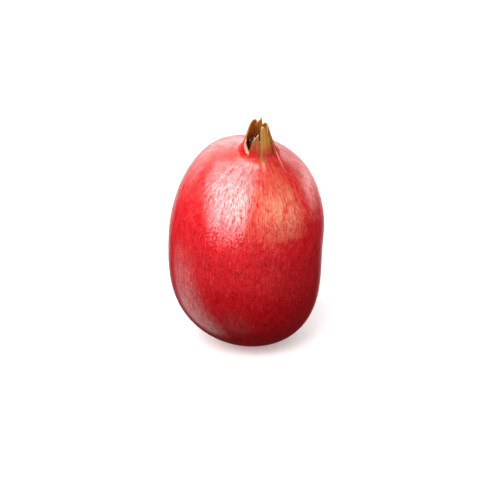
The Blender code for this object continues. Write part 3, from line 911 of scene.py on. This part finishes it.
@dataclass
class StamenTuft:
    """Dried stamens and style in the crown's cup, in mm."""

    fruit: Fruit
    count: int = 64
    seed: int = 11
    thread_radius: float = 0.20
    anther_radius: float = 0.36
    rises: tuple[float, float] = (6.2, 9.6)
    style_rise: float = 10.4
    style_width: float = 2.2
    bow: float = 0.7
    pale_share: float = 0.75
    pale_below: float = 7.8
    dull: float = 0.10
    pad_radius: float = 5.6
    pad_thickness: float = 0.9
    pad_lift: float = 1.3

    def floor(self) -> float:
        """Height of the pad's underside in the crown."""
        return self.fruit.cup_floor + self.pad_lift

    def pattern(self) -> Object:
        """One upright stamen, a unit high, drawn out from a slim cylinder."""
        foot = 0.06
        piece = add_cylinder(6, self.thread_radius, 0.0, foot)
        pick(lambda place: place.z > foot / 2)
        swell = self.anther_radius / self.thread_radius
        for rise, width in ((0.24, 0.9), (0.26, 1.0), (0.24, 1.0), (0.04, swell), (0.08, 1.05), (0.05, 0.55)):
            bpy.ops.mesh.extrude_region_move(TRANSFORM_OT_translate={"value": (0.0, 0.0, rise)})
            bpy.ops.transform.resize(value=(width, width, 1.0))
        bpy.ops.object.mode_set(mode="OBJECT")
        return piece

    def stamen(self, pattern: Object, index: int, rng: random.Random) -> Object:
        """Copy the pattern, bend it and set it in its place.

        Args:
            pattern: the upright stamen.
            index: its number, counted outwards; the first is the style.
            rng: source of its random draws.

        Returns:
            The placed copy.
        """
        fruit, floor = self.fruit, self.floor()
        reach = (self.pad_radius - 0.7) * sqrt((index + 0.3) / (self.count + 1))
        turn = index * pi * (3 - sqrt(5))
        rise = rng.uniform(*self.rises) if index else self.style_rise
        root = fruit.crown_point(turn, reach, floor + 0.4)
        tip_reach = held(reach + rng.uniform(-1.2, 0.8), 0.0, self.pad_radius - 0.8)
        tip = fruit.crown_point(turn + rng.uniform(-0.35, 0.35), tip_reach, floor + rise)
        bow = Vector((rng.uniform(-self.bow, self.bow), rng.uniform(-self.bow, self.bow), 0.0))
        width = 1.0 if index else self.style_width
        glow = 1.0 if rise < self.pale_below and rng.random() < self.pale_share else self.dull
        copy = pattern.copy()
        copy.data = pattern.data.copy()
        bpy.context.scene.collection.objects.link(copy)
        line = (tip - root).normalized()
        side = line.orthogonal().normalized()
        other = line.cross(side)
        ripe = []
        for vert in copy.data.vertices:
            share = min(vert.co.z, 1.0)
            middle = root.lerp(tip, share) + bow * sin(pi * share)
            ripe.append((share, glow, 0.0))
            vert.co = (middle + (side * vert.co.x + other * vert.co.y) * width + fruit.shift) * MM
        write_attribute(copy.data, "ripe", ripe)
        return copy

    def pad(self) -> Object:
        """Thin domed pad that the stamens grow from."""
        piece = add_cylinder(40, self.pad_radius, 0.0, self.pad_thickness)
        pick(lambda place: place.z > 0.5 * self.pad_thickness)
        bpy.ops.transform.resize(value=(0.9, 0.9, 1.0))
        bpy.ops.mesh.select_mode(type="FACE")
        for depth in (0.15, 0.10):
            bpy.ops.mesh.inset(thickness=1.6, depth=depth)
        bpy.ops.object.mode_set(mode="OBJECT")
        fruit = self.fruit
        for vert in piece.data.vertices:
            turn, reach = atan2(vert.co.y, vert.co.x), hypot(vert.co.x, vert.co.y)
            vert.co = (fruit.crown_point(turn, reach, self.floor() + vert.co.z) + fruit.shift) * MM
        write_attribute(piece.data, "ripe", [(0.1, 0.0, 0.0)] * len(piece.data.vertices))
        return piece

    def build(self, material: Material) -> Object:
        """Model the tuft.

        Args:
            material: the stamens' finish.

        Returns:
            The finished piece.
        """
        rng = random.Random(self.seed)
        pattern = self.pattern()
        pieces = [self.pad()] + [self.stamen(pattern, index, rng) for index in range(self.count + 1)]
        bpy.data.objects.remove(pattern, do_unlink=True)
        deselect_all()
        for piece in pieces:
            piece.select_set(True)
        bpy.context.view_layer.objects.active = pieces[0]
        bpy.ops.object.join()
        tuft = bpy.context.object
        tuft.name = tuft.data.name = "dried_stamens"
        finish_mesh(tuft, material)
        return tuft


@dataclass
class StalkStub:
    """Clipped stub of the stalk in the dimple under the fruit, in mm."""

    fruit: Fruit
    radius: float = 2.9
    recess: float = 0.5
    top_gap: float = 0.4
    rims: Pairs = ((0.3, -0.05), (0.6, -0.10), (0.8, 0.0))

    def build(self, material: Material) -> Object:
        """Model the stub.

        Args:
            material: the stalk's finish.

        Returns:
            The finished piece.
        """
        fruit, recess = self.fruit, self.recess
        height = 0.97 * fruit.dimple_depth - self.top_gap - recess
        piece = add_cylinder(48, self.radius, recess, height)
        piece.name = piece.data.name = "stalk_stub"
        pick(lambda place: place.z < recess + 0.5 * height)
        bpy.ops.transform.resize(value=(0.9, 0.9, 1.0))
        bpy.ops.mesh.select_mode(type="FACE")
        for thickness, depth in self.rims:
            bpy.ops.mesh.inset(thickness=thickness, depth=depth)
        bpy.ops.object.mode_set(mode="OBJECT")
        lift = fruit.middle(fruit.foot_height()) + fruit.shift
        values = []
        for vert in piece.data.vertices:
            turn, reach = atan2(vert.co.y, vert.co.x), hypot(vert.co.x, vert.co.y)
            swell = 1 + 0.05 * cos(3 * turn + 0.6) + 0.012 * cos(17 * turn)
            cut = reach < 0.88 * self.radius and vert.co.z < recess + 0.3
            values.append((1.0 if cut else 0.0, reach / self.radius, 0.0))
            vert.co = Vector((vert.co.x * swell + lift.x, vert.co.y * swell + lift.y, vert.co.z)) * MM
        write_attribute(piece.data, "ripe", values)
        finish_mesh(piece, material)
        return piece


# The studio


@dataclass(frozen=True)
class Panel:
    """Soft light panel that faces the fruit and shades it, with no reflection of its own."""

    name: str
    azimuth: float
    elevation: float
    distance: float
    size: float
    power: float

    def build(self, target: Vector) -> None:
        """Hang the panel.

        Args:
            target: point that it faces, in metres.
        """
        lamp = bpy.data.lights.new(self.name, "AREA")
        lamp.shape = "SQUARE"
        lamp.size = self.size
        lamp.energy = self.power
        light = bpy.data.objects.new(self.name, lamp)
        away = toward(self.azimuth, self.elevation)
        light.location = target + away * self.distance
        light.rotation_euler = away.to_track_quat("Z", "Y").to_euler()
        light.visible_camera = False
        light.visible_glossy = False
        bpy.context.scene.collection.objects.link(light)


@dataclass(frozen=True)
class Room:
    """Light of the room by direction: what the skin mirrors, what shades it, and white behind it.

    The strengths are those of a soft box high on the left with a brighter core, a
    backdrop, its lower part, a strip on the right, a sweep low on the left, and the
    pale floor in front with a brighter patch.
    """

    box_azimuth: float = -35.0
    box_elevation: float = 45.0
    box: float = 17.5
    core: float = 11.0
    backdrop: float = 6.6
    skirt: float = 1.1
    strip: float = 3.4
    sweep: float = 2.1
    front: float = 0.5
    patch: float = 0.35
    dark: float = 0.02

    def mirrored(self, x: Value, y: Value, z: Value) -> Value:
        """Brightness that glossy rays meet.

        Args:
            x: rightward part of the direction.
            y: part of the direction away from the camera.
            z: upward part of the direction.

        Returns:
            The brightness.
        """
        def along(axis: Vector) -> Value:
            """Part of the direction that runs along an axis."""
            return x * axis.x + y * axis.y + z * axis.z

        facing = toward(self.box_azimuth, self.box_elevation)
        rightward = toward(self.box_azimuth + 90.0, 0.0)
        upward = rightward.cross(facing) * -1.0
        ahead = along(facing)
        u, v = along(rightward) / ahead, along(upward) / ahead
        box = u.step(-1.35, -0.40) * (u + 0.60 * v.step(0.5, 1.6)).step(0.86, 0.64) * ahead.step(0.05, 0.20)
        box = box * v.step(-1.30, -0.75) * v.step(2.1, 1.3) * (u + 0.8 * v).step(-1.55, -1.05)
        core = (u * u + (v + 0.24) * (v + 0.24)).step(0.55, 0.0)
        backdrop = y.step(0.20, 0.95) * z.step(-0.12, 0.50) * (0.22 + 0.78 * x.step(0.45, -0.10))
        skirt = y.step(0.76, 0.93) * z.step(0.3, 0.0)
        strip = x.step(0.30, 0.65) * y.step(0.20, 0.60) * z.step(-0.26, 0.10) * z.step(0.42, 0.12)
        sweep = along(toward(-107.0, -44.0)).step(0.86, 0.985)
        front = z.step(-0.06, -0.20) * z.step(-0.60, -0.44) * x.step(1.00, 0.60) * y.step(0.40, 0.0)
        patch = along(toward(-30.0, -64.0)).step(0.92, 0.985)
        return (self.dark + box * (self.box + self.core * core) + self.backdrop * backdrop
                + self.strip * strip + self.sweep * sweep + self.skirt * skirt
                + self.front * front + self.patch * patch)

    def build(self) -> None:
        """Write the room's light."""
        world = bpy.data.worlds.new("studio_room")
        world.cycles.sampling_method = "NONE"
        bpy.context.scene.world = world
        graph = Graph(world)
        x, y, z = graph.split(graph.coordinates("Generated"))
        shade = 0.10 + 0.16 * z.step(-0.35, 0.25) + 0.14 * z.step(-0.35, -0.90) + 0.95 * y.step(0.05, 0.85)
        glossy = graph.add("ShaderNodeLightPath", {}, {}, "Is Glossy Ray")
        seen = graph.add("ShaderNodeLightPath", {}, {}, "Is Camera Ray")
        strength = shade * (1 - glossy) * (1 - seen) + self.mirrored(x, y, z) * glossy + seen
        graph.finish(graph.add("ShaderNodeBackground", {}, {"Color": WHITE, "Strength": strength}),
                     "ShaderNodeOutputWorld")


@dataclass(frozen=True)
class Studio:
    """Pale floor, soft lights and the camera at the photo's viewing angle, in metres."""

    elevation: float = 24.0
    distance: float = 0.850
    lens: float = 104.8
    aim: tuple[float, float, float] = (0.00012, 0.0, 0.06729)
    slide_right: float = 0.00222
    slide_up: float = -0.00505
    floor_size: float = 12.0
    floor_colour: Colour = (0.86, 0.86, 0.86)
    floor_glow: float = 0.3
    panels: tuple[Panel, ...] = (Panel("key_shade", -38.0, 55.0, 1.3, 1.2, 25.0),
                                 Panel("fill_shade", 42.0, 44.0, 1.4, 1.2, 7.0))

    def build_camera(self) -> None:
        """Place the camera."""
        lift = radians(self.elevation)
        away = toward(0.0, self.elevation)
        slide = Vector((self.slide_right, sin(lift) * self.slide_up, cos(lift) * self.slide_up))
        camera = bpy.data.objects.new("camera", bpy.data.cameras.new("camera"))
        camera.data.lens = self.lens
        camera.data.clip_start = 0.01
        camera.location = Vector(self.aim) + away * self.distance + slide
        camera.rotation_euler = away.to_track_quat("Z", "Y").to_euler()
        bpy.context.scene.collection.objects.link(camera)
        bpy.context.scene.camera = camera

    def build_floor(self) -> None:
        """Lay the pale floor, which the fruit's skin doesn't mirror."""
        deselect_all()
        bpy.ops.mesh.primitive_plane_add(size=self.floor_size)
        floor = bpy.context.object
        floor.name = floor.data.name = "studio_floor"
        graph = Graph.of_material("pale_floor")
        floor.data.materials.append(graph.finish(graph.skin({
            "Base Color": self.floor_colour, "Roughness": 1.0, "Specular IOR Level": 0.0,
            "Emission Color": WHITE, "Emission Strength": self.floor_glow}, {})))
        floor.visible_glossy = False
        floor.visible_diffuse = False

    def build(self) -> None:
        """Set up floor, lights, room and camera."""
        self.build_floor()
        for panel in self.panels:
            panel.build(Vector(self.aim))
        Room().build()
        self.build_camera()
        view = bpy.context.scene.view_settings
        view.view_transform = "Standard"
        view.look = "None"


def stand_in(piece: Object, node: str) -> None:
    """Let a piece ride in place of a solid and report it.

    Args:
        piece: the finished piece.
        node: name of the solid.
    """
    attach(piece, "root")
    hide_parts(node)
    LOG.info("%s: %d faces in place of %s", piece.name, len(piece.data.polygons), node)


def main() -> None:
    """Build and dress the pomegranate's pieces in order, then the studio."""
    logging.basicConfig(level=logging.INFO, format="%(message)s")
    fruit = Fruit()
    stand_in(fruit.build(RindSkin().material()), "fruit")
    stand_in(StamenTuft(fruit).build(DryThread().material()), "stamens")
    stand_in(StalkStub(fruit).build(CutStalk().material()), "stem_stub")
    Studio().build()


if __name__ == "__main__":
    main()
